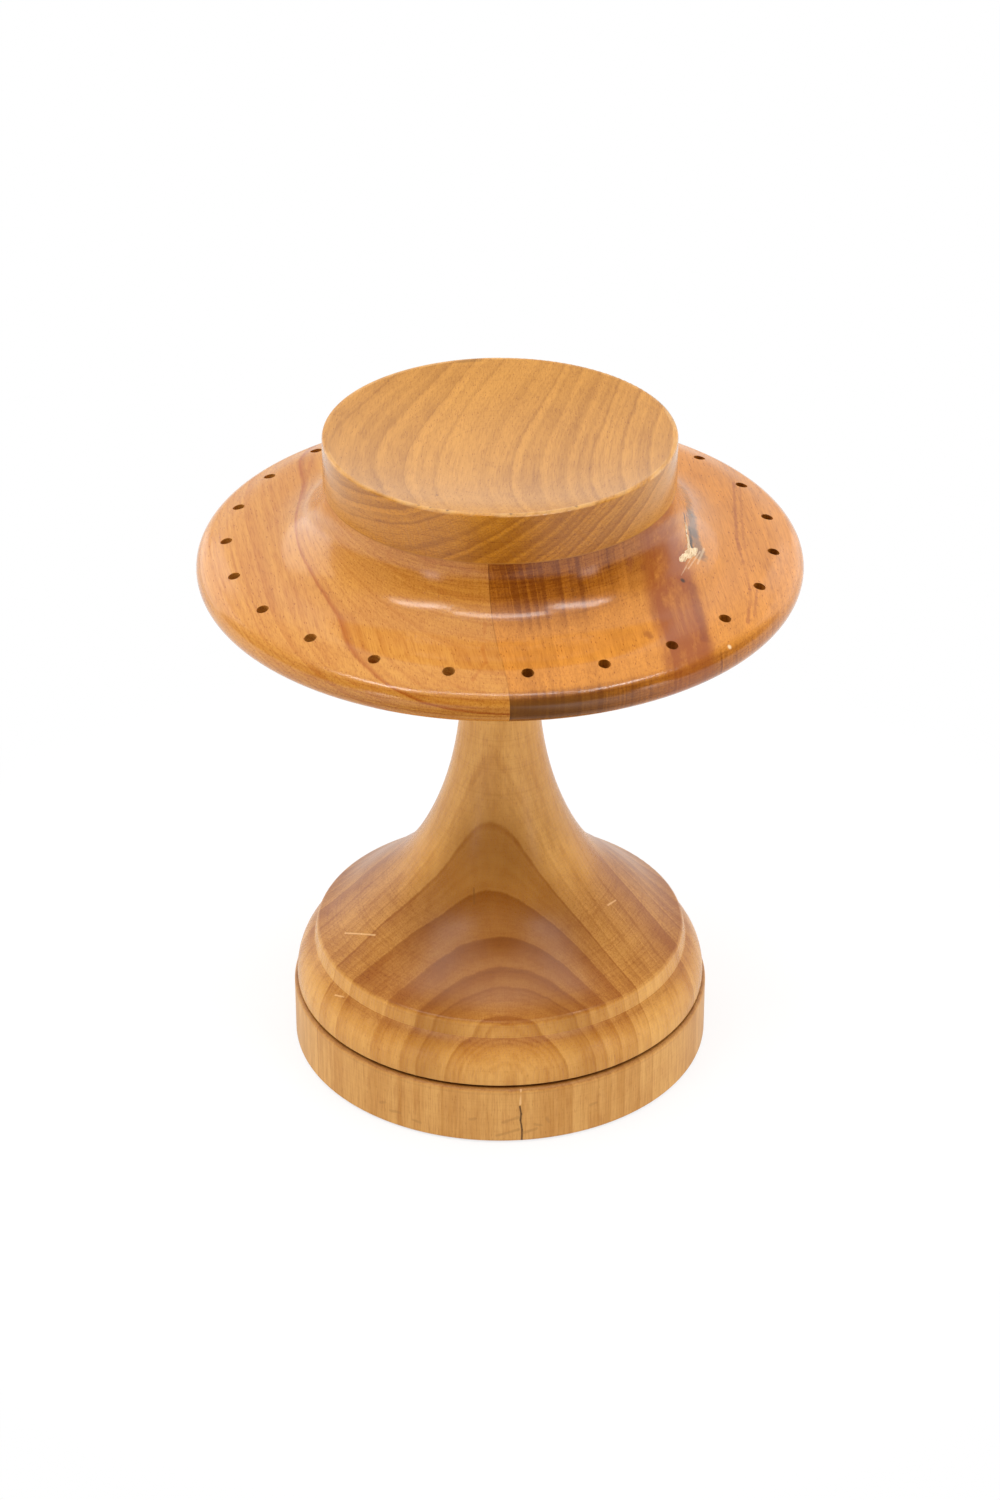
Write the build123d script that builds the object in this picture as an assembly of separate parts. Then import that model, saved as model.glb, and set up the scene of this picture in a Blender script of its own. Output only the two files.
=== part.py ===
from build123d import *
import math
import os

# A hand-turned wooden jewelry stand. A shallow tray sits on a platter drilled with hanging holes,
# the platter on a flared pedestal, and all three spin as one on a ball bearing let into a plinth.
# Millimetres. Z is the turning axis, the pad's underside lies on Z = 0 and the front faces -Y.

# Ball bearing: two pressed square plates, a ring of caged balls and the eyelet that holds them together
bearing_side = 76.0
bearing_corner_radius = 8.0
plate_corners = 4
upper_plate_turn = 45.0
bearing_height = 8.0
plate_thickness = 1.2
ball_radius = 2.4
ball_count = 12
ball_clearance = 0.3
race_gap = 2.0
race_land = 2.2
cage_thickness = 1.0
cage_rim = 1.6
cage_clearance = 0.2
eyelet_bore_radius = 15.4
eyelet_wall = 1.0
eyelet_flange = 2.8
eyelet_flange_thickness = 0.8
eyelet_clearance = 0.3
eyelet_head_room = 0.6

# Wood screws that hold the bearing plates
screw_shank_radius = 1.6
screw_length = 8.0
screw_tip_length = 3.0
screw_head_radius = 3.0
screw_head_height = 1.6
screw_inset = 6.0
screw_hole_clearance = 0.3
pilot_clearance = 0.1
pilot_spare_depth = 0.5
driver_slot_width = 0.8
driver_slot_depth = 0.7
driver_slot_end_gap = 1.0
access_hole_clearance = 2.0

# Plinth and the cork pad under it
plinth_wall = 12.2
plinth_thickness = 18.8
plinth_top_round = 1.2
plinth_bottom_ease = 0.6
recess_clearance = 1.0
swivel_gap = 1.0
pad_inset = 9.6
pad_thickness = 2.0
pad_proud = 0.5
pad_clearance = 0.2

# Pedestal: heights step upwards from the foot, radii step outwards from the waist
pedestal_height = 138.1
foot_setback = 1.0
crease_setback = 5.4
lip_setback = 6.4
bead_swell = 1.7
crease_height = 13.3
lip_rise = 4.7
lip_round = 1.8
sweep_rise = 11.7
flare_rise = 8.0
neck_rise = 15.0
waist_rise = 39.0
collar_height = 3.0
waist_radius = 12.1
neck_swell = 10.3
flare_swell = 9.9
sweep_swell = 8.9
shoulder_swell = 7.9
lip_slope = 29.0
shoulder_slope = 60.0
tenon_radius = 10.0
tenon_length = 18.0
tenon_chamfer = 1.0
glue_clearance = 0.1
socket_spare_depth = 0.5

# Platter and hub, turned from one blank of two edge-glued boards
platter_thickness = 12.8
platter_flat = 15.1
rim_round = 4.3
crown_drop = 2.1
crown_drop_at_holes = 0.6
crown_slope = 19.0
cove_radius = 17.9
seam_angle = 9.15
seam_offset = 11.35
hole_count = 23
hole_radius = 1.75
hole_setback = 8.94
first_hole_angle = 5.48

# Tray
tray_radius = 51.0
tray_height = 15.2
dish_depth = 7.0
tray_rim_width = 1.2
tray_rim_ease = 0.6
tray_tenon_radius = 24.0
tray_tenon_length = 4.0

# Bearing radii, worked out from the eyelet to the race's outer edge
eyelet_radius = eyelet_bore_radius + eyelet_wall
eyelet_flange_radius = eyelet_radius + eyelet_flange
race_inner_radius = eyelet_flange_radius + eyelet_clearance
groove_radius = ball_radius + ball_clearance
groove_half_width = math.sqrt(groove_radius**2 - (race_gap / 2) ** 2)
ball_circle_radius = race_inner_radius + race_land + groove_half_width
race_outer_radius = ball_circle_radius + groove_half_width + race_land
bearing_reach = (bearing_side / 2 - bearing_corner_radius) * math.sqrt(2) + bearing_corner_radius
screw_circle_radius = (bearing_side / 2 - screw_inset) * math.sqrt(2)

# Radii of the turned pieces
recess_radius = bearing_reach + recess_clearance
plinth_radius = recess_radius + plinth_wall
pad_radius = plinth_radius - pad_inset
foot_radius = plinth_radius - foot_setback
crease_radius = foot_radius - crease_setback
lip_radius = foot_radius - lip_setback
neck_radius = waist_radius + neck_swell
flare_radius = neck_radius + flare_swell
sweep_radius = flare_radius + sweep_swell
shoulder_radius = waist_radius + shoulder_swell
cove_foot_radius = tray_radius + cove_radius
rim_start_radius = cove_foot_radius + platter_flat
platter_radius = rim_start_radius + rim_round
hole_circle_radius = platter_radius - hole_setback
dish_radius = tray_radius - tray_rim_width

# Levels, from the pad upwards
plinth_bottom = pad_proud
plinth_top = plinth_bottom + plinth_thickness
foot_bottom = plinth_top + swivel_gap
recess_floor = foot_bottom - bearing_height
lower_plate_top = recess_floor + plate_thickness
upper_plate_bottom = foot_bottom - plate_thickness
bearing_middle = recess_floor + bearing_height / 2
lower_race_face = bearing_middle - race_gap / 2
upper_race_face = bearing_middle + race_gap / 2
crease_level = foot_bottom + crease_height
lip_level = crease_level + lip_rise
sweep_level = lip_level + sweep_rise
flare_level = sweep_level + flare_rise
neck_level = flare_level + neck_rise
waist_level = neck_level + waist_rise
platter_bottom = foot_bottom + pedestal_height
collar_level = platter_bottom - collar_height
platter_top = platter_bottom + platter_thickness
rim_top = platter_top - crown_drop
hub_top = platter_top + cove_radius
tray_top = hub_top + tray_height


# A cylinder drawn upwards or downwards from its place
upwards = (Align.CENTER, Align.CENTER, Align.MIN)
downwards = (Align.CENTER, Align.CENTER, Align.MAX)


def at(radius, level):
    """Point of a turned outline, in the XZ plane."""
    return Vector(radius, 0, level)


def heading(degrees):
    """Direction in the XZ plane, measured from +X towards +Z."""
    return at(math.cos(math.radians(degrees)), math.sin(math.radians(degrees)))


def arc_about(centre, radius, start, end):
    """Arc in the XZ plane about a centre, from one heading to another."""
    middle = (start + end) / 2
    return ThreePointArc(*[centre + heading(angle) * radius for angle in (start, middle, end)])


def turned(*outline):
    """Solid turned once round Z from the pieces of a closed outline in the XZ plane."""
    edges = [edge for piece in outline for edge in piece.edges()]
    return revolve(make_face(edges), Axis.Z)


def disc(radius, bottom, top):
    """Upright cylinder on the turning axis."""
    return Pos(0, 0, bottom) * Cylinder(radius, top - bottom, align=upwards)


def ring(inner_radius, outer_radius, bottom, top):
    """Upright tube on the turning axis."""
    return disc(outer_radius, bottom, top) - disc(inner_radius, bottom, top)


def on_circle(radius, count, start_angle, level):
    """Evenly spaced places on a level circle, the angle measured from the front towards +X."""
    places = []
    for index in range(count):
        angle = math.radians(start_angle + index * 360 / count)
        places.append(Pos(radius * math.sin(angle), -radius * math.cos(angle), level))
    return places


# The screws stand at the plates' corners, and the upper plate rests turned against the lower one
corner_angle = 180 / plate_corners
upper_corner_angle = corner_angle + upper_plate_turn
lower_screw_places = on_circle(screw_circle_radius, plate_corners, corner_angle, lower_plate_top)
upper_screw_places = on_circle(screw_circle_radius, plate_corners, upper_corner_angle, upper_plate_bottom)
ball_places = on_circle(ball_circle_radius, ball_count, 0, bearing_middle)


def plinth():
    """Round block with a recess for the bearing above and a shallow one for the pad below."""
    side_top = at(plinth_radius, plinth_top - plinth_top_round)
    side_bottom = at(plinth_radius, plinth_bottom + plinth_bottom_ease)
    block = turned(
        Polyline(
            at(plinth_radius - plinth_top_round, plinth_top),
            at(0, plinth_top),
            at(0, plinth_bottom),
            at(plinth_radius - plinth_bottom_ease, plinth_bottom),
        ),
        arc_about(side_bottom - at(plinth_bottom_ease, 0), plinth_bottom_ease, -90, 0),
        Line(side_bottom, side_top),
        arc_about(side_top - at(plinth_top_round, 0), plinth_top_round, 0, 90),
    )
    block -= disc(recess_radius, recess_floor, plinth_top)
    pad_recess_top = plinth_bottom + pad_thickness - pad_proud
    block -= disc(pad_radius + pad_clearance, plinth_bottom, pad_recess_top)
    pilot_depth = screw_length + pilot_spare_depth
    for place in lower_screw_places:
        block -= place * Cylinder(screw_shank_radius + pilot_clearance, pilot_depth, align=downwards)
    # A driver reaches the upper plate's screws through one hole, a corner at a time
    access_depth = lower_plate_top - pad_recess_top
    access_radius = screw_head_radius + access_hole_clearance
    access_place = on_circle(screw_circle_radius, 1, upper_corner_angle, lower_plate_top)[0]
    block -= access_place * Cylinder(access_radius, access_depth, align=downwards)
    return block


def base_pad():
    """Thin cork disc let into the plinth's underside and standing a little proud of it."""
    return disc(pad_radius, 0, pad_thickness)


def square_plate(bottom, turn):
    """Square bearing plate with round corners, lying flat at a level."""
    outline = RectangleRounded(bearing_side, bearing_side, bearing_corner_radius)
    return Pos(0, 0, bottom) * Rot(0, 0, turn) * extrude(outline, plate_thickness)


def ball_groove():
    """Ring-shaped space that the balls run in."""
    return Pos(0, 0, bearing_middle) * Torus(ball_circle_radius, groove_radius)


def drilled(plate, places):
    """Plate with clearance holes for its screws."""
    for place in places:
        plate -= place * Cylinder(screw_shank_radius + screw_hole_clearance, plate_thickness * 3)
    return plate


def bearing_lower_plate():
    """Pressed plate on the recess floor, with a raised race and a raised web over the eyelet's flange."""
    plate = square_plate(recess_floor, 0)
    plate += disc(race_outer_radius, recess_floor, lower_race_face)
    plate -= disc(race_inner_radius, recess_floor, lower_race_face)
    web_bottom = recess_floor + eyelet_flange_thickness
    web_top = web_bottom + plate_thickness
    plate += ring(eyelet_radius + eyelet_clearance, race_inner_radius, web_bottom, web_top)
    plate -= ball_groove()
    return drilled(plate, lower_screw_places)


def bearing_upper_plate():
    """Pressed plate under the pedestal, with its race hanging down and a web under the eyelet's head."""
    plate = square_plate(upper_plate_bottom, upper_plate_turn)
    plate += disc(race_outer_radius, upper_race_face, foot_bottom)
    plate -= disc(race_inner_radius, upper_race_face, foot_bottom)
    web_top = foot_bottom - eyelet_head_room - eyelet_flange_thickness - eyelet_clearance
    plate += ring(eyelet_radius + eyelet_clearance, race_inner_radius, web_top - plate_thickness, web_top)
    plate -= ball_groove()
    return drilled(plate, upper_screw_places)


def bearing_eyelet():
    """Rolled tube with a flange at each end, which keeps the two plates from coming apart."""
    eyelet_top = foot_bottom - eyelet_head_room
    barrel = ring(eyelet_bore_radius, eyelet_radius, recess_floor, eyelet_top)
    lower_flange_top = recess_floor + eyelet_flange_thickness
    barrel += ring(eyelet_bore_radius, eyelet_flange_radius, recess_floor, lower_flange_top)
    barrel += ring(eyelet_bore_radius, eyelet_flange_radius, eyelet_top - eyelet_flange_thickness, eyelet_top)
    return barrel


def ball_cage():
    """Flat ring that keeps the balls evenly apart."""
    ball_hole_radius = ball_radius + cage_clearance
    reach = ball_hole_radius + cage_rim
    half_thickness = cage_thickness / 2
    cage = ring(
        ball_circle_radius - reach,
        ball_circle_radius + reach,
        bearing_middle - half_thickness,
        bearing_middle + half_thickness,
    )
    for place in ball_places:
        cage -= place * Cylinder(ball_hole_radius, cage_thickness * 2)
    return cage


def bearing_balls():
    """Steel balls, one in each hole of the cage."""
    return Compound(children=[place * Sphere(ball_radius) for place in ball_places])


def wood_screw():
    """Round-headed screw pointing down, its head seated at the origin."""
    dome_radius = (screw_head_radius**2 + screw_head_height**2) / (2 * screw_head_height)
    dome_centre = at(0, screw_head_height - dome_radius)
    rim_heading = math.degrees(math.asin((dome_radius - screw_head_height) / dome_radius))
    screw = turned(
        Polyline(
            at(0, screw_head_height),
            at(0, -screw_length),
            at(screw_shank_radius, screw_tip_length - screw_length),
            at(screw_shank_radius, 0),
            at(screw_head_radius, 0),
        ),
        arc_about(dome_centre, dome_radius, rim_heading, 90),
    )
    slot_length = 2 * (screw_head_radius - driver_slot_end_gap)
    slot = Box(slot_length, driver_slot_width, 2 * driver_slot_depth) + Box(
        driver_slot_width, slot_length, 2 * driver_slot_depth
    )
    return screw - Pos(0, 0, screw_head_height) * slot


def lower_plate_screws():
    """Screws that hold the lower plate down to the plinth."""
    return Compound(children=[place * wood_screw() for place in lower_screw_places])


def upper_plate_screws():
    """Screws that hold the upper plate up to the pedestal."""
    return Compound(children=[place * Rot(180, 0, 0) * wood_screw() for place in upper_screw_places])


def pedestal():
    """Foot, flare, stem and tenon, turned from one upright block."""
    foot_edge = at(foot_radius, foot_bottom)
    crease = at(crease_radius, crease_level)
    bead_chord = foot_edge - crease
    bead_middle = (foot_edge + crease) / 2 + Vector(-bead_chord.Z, 0, bead_chord.X).normalized() * bead_swell
    lip = at(lip_radius, lip_level)
    lip_heading = (lip - crease).normalized()
    sweep_heading = heading(180 - lip_slope)
    round_length = lip_round * math.tan(math.radians(lip_heading.get_angle(sweep_heading) / 2))
    lip_front = lip - lip_heading * round_length
    lip_back = lip + sweep_heading * round_length
    collar = at(shoulder_radius, collar_level)
    tenon_top = platter_bottom + tenon_length
    stem_line = Spline(
        lip_back,
        at(sweep_radius, sweep_level),
        at(flare_radius, flare_level),
        at(neck_radius, neck_level),
        at(waist_radius, waist_level),
        collar,
        tangents=[sweep_heading, heading(shoulder_slope)],
    )
    stem = turned(
        Polyline(at(0, tenon_top), at(0, foot_bottom), foot_edge),
        ThreePointArc(foot_edge, bead_middle, crease),
        Line(crease, lip_front),
        TangentArc(lip_front, lip_back, tangent=lip_heading),
        stem_line,
        Polyline(
            collar,
            at(shoulder_radius, platter_bottom),
            at(tenon_radius, platter_bottom),
            at(tenon_radius, tenon_top - tenon_chamfer),
            at(tenon_radius - tenon_chamfer, tenon_top),
            at(0, tenon_top),
        ),
    )
    pilot_depth = screw_length + pilot_spare_depth
    for place in upper_screw_places:
        stem -= place * Cylinder(screw_shank_radius + pilot_clearance, pilot_depth, align=upwards)
    return stem


def platter_blank():
    """Platter and hub before the two boards are told apart."""
    rim_bottom_edge = at(rim_start_radius, platter_bottom)
    rim_top_edge = at(rim_start_radius, rim_top)
    rim_middle = at(platter_radius, (platter_bottom + rim_top) / 2)
    cove_foot = at(cove_foot_radius, platter_top)
    crown = Spline(
        cove_foot,
        at(hole_circle_radius, platter_top - crown_drop_at_holes),
        rim_top_edge,
        tangents=[heading(0), heading(-crown_slope)],
    )
    blank = turned(
        Polyline(at(tray_radius, hub_top), at(0, hub_top), at(0, platter_bottom), rim_bottom_edge),
        ThreePointArc(rim_bottom_edge, rim_middle, rim_top_edge),
        crown,
        arc_about(at(cove_foot_radius, hub_top), cove_radius, 180, 270),
    )
    socket_top = platter_bottom + tenon_length + socket_spare_depth
    blank -= disc(tenon_radius + glue_clearance, platter_bottom, socket_top)
    tray_socket_bottom = hub_top - tray_tenon_length - socket_spare_depth
    blank -= disc(tray_tenon_radius + glue_clearance, tray_socket_bottom, hub_top)
    for place in on_circle(hole_circle_radius, hole_count, first_hole_angle, platter_bottom):
        blank -= place * Cylinder(hole_radius, platter_thickness, align=upwards)
    return blank


def platter_board(kept_side):
    """One of the two boards, cut from the blank along the glue line."""
    seam_normal = Vector(math.cos(math.radians(seam_angle)), math.sin(math.radians(seam_angle)), 0)
    glue_line = Plane(origin=seam_normal * -seam_offset, z_dir=seam_normal)
    return split(platter_blank(), bisect_by=glue_line, keep=kept_side)


def tray():
    """Shallow dish on top, held by a short round tenon in the hub."""
    tenon_bottom = hub_top - tray_tenon_length
    bowl_radius = (dish_radius**2 + dish_depth**2) / (2 * dish_depth)
    bowl_centre = at(0, tray_top - dish_depth + bowl_radius)
    dish_edge_heading = -math.degrees(math.acos(dish_radius / bowl_radius))
    side_top = at(tray_radius, tray_top - tray_rim_ease)
    return turned(
        Polyline(
            at(0, tray_top - dish_depth),
            at(0, tenon_bottom),
            at(tray_tenon_radius, tenon_bottom),
            at(tray_tenon_radius, hub_top),
            at(tray_radius, hub_top),
            side_top,
        ),
        arc_about(side_top - at(tray_rim_ease, 0), tray_rim_ease, 0, 90),
        Line(at(tray_radius - tray_rim_ease, tray_top), at(dish_radius, tray_top)),
        arc_about(bowl_centre, bowl_radius, dish_edge_heading, -90),
    )


nodes = {
    "base_pad": base_pad(),
    "plinth": plinth(),
    "bearing_lower_plate": bearing_lower_plate(),
    "lower_plate_screws": lower_plate_screws(),
    "bearing_eyelet": bearing_eyelet(),
    "ball_cage": ball_cage(),
    "bearing_balls": bearing_balls(),
    "bearing_upper_plate": bearing_upper_plate(),
    "upper_plate_screws": upper_plate_screws(),
    "pedestal": pedestal(),
    "platter_left_board": platter_board(Keep.BOTTOM),
    "platter_right_board": platter_board(Keep.TOP),
    "tray": tray(),
}

os.makedirs("parts", exist_ok=True)
for node, shape in nodes.items():
    export_step(shape, f"parts/{node}.step")
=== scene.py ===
import math

import bpy
from mathutils import Matrix, Vector


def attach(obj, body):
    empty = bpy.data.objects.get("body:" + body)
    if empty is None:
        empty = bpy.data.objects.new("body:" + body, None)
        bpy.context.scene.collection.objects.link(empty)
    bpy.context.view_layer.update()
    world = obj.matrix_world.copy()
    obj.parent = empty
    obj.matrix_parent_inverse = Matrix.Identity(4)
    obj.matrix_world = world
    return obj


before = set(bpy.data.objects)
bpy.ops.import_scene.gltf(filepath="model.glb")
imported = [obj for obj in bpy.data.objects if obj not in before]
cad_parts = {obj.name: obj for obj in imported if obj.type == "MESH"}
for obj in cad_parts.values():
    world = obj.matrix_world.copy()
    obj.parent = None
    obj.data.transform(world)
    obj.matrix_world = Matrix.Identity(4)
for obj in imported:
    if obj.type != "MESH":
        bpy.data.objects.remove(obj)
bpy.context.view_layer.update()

# Base pad: a thin disc of pressed cork granules, glued into a shallow recess under the plinth.
# It keeps the stand from slipping or marking a table.
cork_pale = (0.50, 0.31, 0.16, 1)
cork_dark = (0.13, 0.065, 0.03, 1)
cork_roughness = 0.9
granules_per_metre = 620
granule_relief = 0.0002
granule_tone_share = 0.9


def put(socket, value):
    """Gives an input its value, or links another node's output to it."""
    if isinstance(value, bpy.types.NodeSocket):
        socket.id_data.links.new(value, socket)
    else:
        socket.default_value = value


def number(tree, operation, *values):
    """A Math node, and the number that it gives."""
    node = tree.nodes.new("ShaderNodeMath")
    node.operation = operation
    for socket, value in zip(node.inputs, values):
        put(socket, value)
    return node.outputs["Value"]


def fade(tree, value, start, end):
    """A mask that goes smoothly from 0 where the value is start to 1 where it is end."""
    node = tree.nodes.new("ShaderNodeMapRange")
    node.interpolation_type = "SMOOTHSTEP"
    put(node.inputs["Value"], value)
    put(node.inputs["From Min"], start)
    put(node.inputs["From Max"], end)
    return node.outputs["Result"]


def blend(tree, amount, below, above, way="MIX"):
    """A colour laid over another by a mask. A Mix node's colours are inputs 6 and 7, and output 2."""
    node = tree.nodes.new("ShaderNodeMix")
    node.data_type = "RGBA"
    node.blend_type = way
    put(node.inputs["Factor"], amount)
    put(node.inputs[6], below)
    put(node.inputs[7], above)
    return node.outputs[2]


def object_place(tree):
    """The point of the surface, in metres from the frame's origin."""
    return tree.nodes.new("ShaderNodeTexCoord").outputs["Object"]


def cells(tree, place, scale):
    """Scattered cells: the distance to each one's centre, and a random colour for each."""
    node = tree.nodes.new("ShaderNodeTexVoronoi")
    put(node.inputs["Vector"], place)
    put(node.inputs["Scale"], scale)
    return node.outputs["Distance"], node.outputs["Color"]


def new_material(name):
    """A node material, with its tree and its shader."""
    material = bpy.data.materials.new(name)
    material.use_nodes = True
    tree = material.node_tree
    return material, tree, tree.nodes["Principled BSDF"]


def relief(tree, shader, height, depth):
    """Surface relief from a height, where a height of 1 is the given depth in metres."""
    node = tree.nodes.new("ShaderNodeBump")
    node.inputs["Strength"].default_value = 1
    node.inputs["Distance"].default_value = depth
    put(node.inputs["Height"], height)
    put(shader.inputs["Normal"], node.outputs["Normal"])


def dress(node_name, material):
    """Gives a CAD node its finish."""
    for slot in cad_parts[node_name].material_slots:
        slot.material = material


cork, tree, shader = new_material("pressed cork")
granule_edge, granule_tone = cells(tree, object_place(tree), granules_per_metre)
colour = blend(tree, number(tree, "MULTIPLY", granule_tone, granule_tone_share), cork_dark, cork_pale)
colour = blend(tree, fade(tree, granule_edge, 0.45, 0.75), colour, cork_dark)
put(shader.inputs["Base Color"], colour)
put(shader.inputs["Roughness"], cork_roughness)
relief(tree, shader, fade(tree, granule_edge, 0.9, 0.3), granule_relief)
dress("base_pad", cork)

# Plinth: the round wooden block that the stand rests on, turned from one upright blank with the pedestal.
# The blank's growth rings run round a pith in front of it, so the front shows upright bands.
# It has a crack at the front, and a few bruises, and its top edge is painted darker as shade under the
# pedestal.
blank_pith = (3, -88, 0)
blank_grain = (0, 0, 1)
blank_lean = (18, 0, 0)
blank_waver = 3
blank_first_ring = 20.2
blank_rings = (
    (4.0, 0.50, 0.75), (9.6, 0.90, 1.00), (7.4, 0.60, 0.80), (4.2, 0.82, 0.85), (6.6, 0.88, 1.00),
    (8.7, 0.78, 1.00), (8.3, 0.50, 0.80), (5.0, 0.20, 0.45), (6.5, 0.25, 0.55), (5.5, 0.20, 0.45),
)
plinth_pale = (0.72, 0.395, 0.118, 1)
plinth_late = (0.44, 0.175, 0.026, 1)
plinth_end = (0.62, 0.500, 0.320, 1)
crack_line = (0.10, 0.040, 0.012, 1)
scuff_pale = (0.86, 0.560, 0.270, 1)
bruise_and_shade_dark = (0.34, 0.150, 0.040, 1)
shaded_edge_start = 0.0172
shaded_edge_end = 0.0180
crack_points = (
    (6.5, -63.3, 0.4), (6.6, -63.3, 4.6), (6.1, -63.3, 8.2), (6.3, -63.3, 10.4), (5.9, -63.3, 13.2),
)
scuffs = (((6.0, -63.3, 14), (6.2, -62.9, 19)),)
bruises = (
    ((-30, -56.1, 5.6), (-33, -54.4, 5.2)), ((-34.5, -53.5, 7.5), (-36, -52.5, 6.8)),
    ((-24, -59, 4), (-26, -58, 4.4)), ((14, -62, 8), (14.6, -61.9, 6.5)),
    ((10.5, -62.8, 6.2), (12.5, -62.4, 5.6)), ((27, -57.5, 9.5), (29, -56.6, 9.7)),
    ((1, -63.6, 7.6), (5.5, -63.4, 9.2)), ((-1, -63.6, 2.6), (5.5, -63.4, 4.8)),
    ((7, -63.2, 3.4), (11, -62.7, 4.6)), ((-9, -63, 8.2), (-7.5, -63.2, 8.6)),
)
millimetres = 1000
lean_start = 40
lean_full = 80
quick_waver = 0.2
feathery_waver = 0.14
rays_round_pith = 230
stroke_core = 0.3


def noise(tree, place, scale, detail=2, roughness=0.5):
    """Cloudy noise from 0 to 1."""
    node = tree.nodes.new("ShaderNodeTexNoise")
    put(node.inputs["Vector"], place)
    put(node.inputs["Scale"], scale)
    put(node.inputs["Detail"], detail)
    put(node.inputs["Roughness"], roughness)
    return node.outputs["Fac"]


def product(tree, first, *others):
    """The product of two or more numbers, such as masks that all have to hold."""
    for other in others:
        first = number(tree, "MULTIPLY", first, other)
    return first


def direction(tree, operation, *values):
    """A Vector Math node, and the vector that it gives."""
    node = tree.nodes.new("ShaderNodeVectorMath")
    node.operation = operation
    for socket, value in zip(node.inputs, values):
        put(socket, value)
    return node.outputs["Vector"]


def measure(tree, operation, *values):
    """A Vector Math node, and the number that it gives."""
    node = tree.nodes.new("ShaderNodeVectorMath")
    node.operation = operation
    for socket, value in zip(node.inputs, values):
        put(socket, value)
    return node.outputs["Value"]


def scaled_vector(tree, vector, factor):
    """A vector made longer or shorter."""
    node = tree.nodes.new("ShaderNodeVectorMath")
    node.operation = "SCALE"
    put(node.inputs[0], vector)
    put(node.inputs["Scale"], factor)
    return node.outputs["Vector"]


def flat_place(tree, x, y=0):
    """A place made from two numbers."""
    node = tree.nodes.new("ShaderNodeCombineXYZ")
    put(node.inputs["X"], x)
    put(node.inputs["Y"], y)
    return node.outputs["Vector"]


def along_axis(tree, axis):
    """How far the point of the surface lies along an axis, in metres."""
    return measure(tree, "DOT_PRODUCT", object_place(tree), axis)


figure = bpy.data.node_groups.new("wood figure", "ShaderNodeTree")
for name in ("Pith", "Grain", "Lean"):
    figure.interface.new_socket(name, in_out="INPUT", socket_type="NodeSocketVector")
figure.interface.new_socket("Waver", in_out="INPUT", socket_type="NodeSocketFloat")
for name in ("Distance", "Line", "Streak", "Fibre", "Pore", "Ray", "Blotch", "Turning", "End Grain"):
    figure.interface.new_socket(name, in_out="OUTPUT", socket_type="NodeSocketFloat")
given = figure.nodes.new("NodeGroupInput").outputs
result = figure.nodes.new("NodeGroupOutput").inputs
place = scaled_vector(figure, object_place(figure), millimetres)
offset = direction(figure, "SUBTRACT", place, given["Pith"])
lengthwise = scaled_vector(figure, given["Grain"], measure(figure, "DOT_PRODUCT", offset, given["Grain"]))
across = direction(figure, "SUBTRACT", offset, lengthwise)
outward = direction(figure, "NORMALIZE", across)


def drawn_out(share, start=across):
    """A place whose pattern is drawn out along the grain, which counts only by a share of its length."""
    return direction(figure, "MULTIPLY_ADD", lengthwise, (share, share, share), start)


def swing(share, scale):
    """Noise along the grain that swings to both sides of 0."""
    return number(figure, "SUBTRACT", noise(figure, drawn_out(share), scale), 0.5)


radius = measure(figure, "LENGTH", across)
lean = measure(figure, "DOT_PRODUCT", outward, given["Lean"])
lean = product(figure, lean, fade(figure, radius, lean_start, lean_full))
waver = swing(share=0.15, scale=0.04)
waver = number(figure, "MULTIPLY_ADD", swing(share=0.15, scale=0.3), quick_waver, waver)
waver = number(figure, "MULTIPLY_ADD", swing(share=0.1, scale=1.1), feathery_waver, waver)
distance = number(figure, "MULTIPLY_ADD", waver, given["Waver"], number(figure, "ADD", radius, lean))
put(result["Distance"], distance)
put(result["Line"], noise(figure, flat_place(figure, distance), scale=0.9, detail=3, roughness=0.65))
put(result["Streak"], noise(figure, drawn_out(0.04), scale=0.3, detail=4, roughness=0.65))
put(result["Blotch"], noise(figure, drawn_out(0.5), scale=0.13, detail=3, roughness=0.6))
put(result["Fibre"], noise(figure, drawn_out(0.06), scale=2.2, detail=3, roughness=0.7))
pore_edge, pore_tone = cells(figure, drawn_out(0.22), scale=1.5)
pore_shape = fade(figure, pore_edge, 0.26, 0.08)
put(result["Pore"], product(figure, pore_shape, fade(figure, pore_tone, 0.42, 0.56)))
radial = scaled_vector(figure, outward, rays_round_pith)
put(result["Ray"], noise(figure, drawn_out(0.3, radial), scale=1, detail=2, roughness=0.6))
from_axis = measure(figure, "LENGTH", direction(figure, "MULTIPLY", place, (1, 1, 0)))
lathe_place = flat_place(figure, from_axis, measure(figure, "DOT_PRODUCT", place, (0, 0, 1)))
put(result["Turning"], noise(figure, lathe_place, scale=1.8, detail=2, roughness=0.6))
normal = figure.nodes.new("ShaderNodeTexCoord").outputs["Normal"]
facing = number(figure, "ABSOLUTE", measure(figure, "DOT_PRODUCT", normal, given["Grain"]))
put(result["End Grain"], fade(figure, facing, 0.35, 0.97))


def wood_figure(tree, pith, grain, lean, waver):
    """The figure of one block of wood: how far each point lies from the pith, and marks along the grain.
    The pith is a point on its line, and lean and waver say how far the rings stray, in millimetres."""
    node = tree.nodes.new("ShaderNodeGroup")
    node.node_tree = figure
    length = math.sqrt(sum(part * part for part in grain))
    node.inputs["Pith"].default_value = pith
    node.inputs["Grain"].default_value = [part / length for part in grain]
    node.inputs["Lean"].default_value = lean
    node.inputs["Waver"].default_value = waver
    return node.outputs


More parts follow.
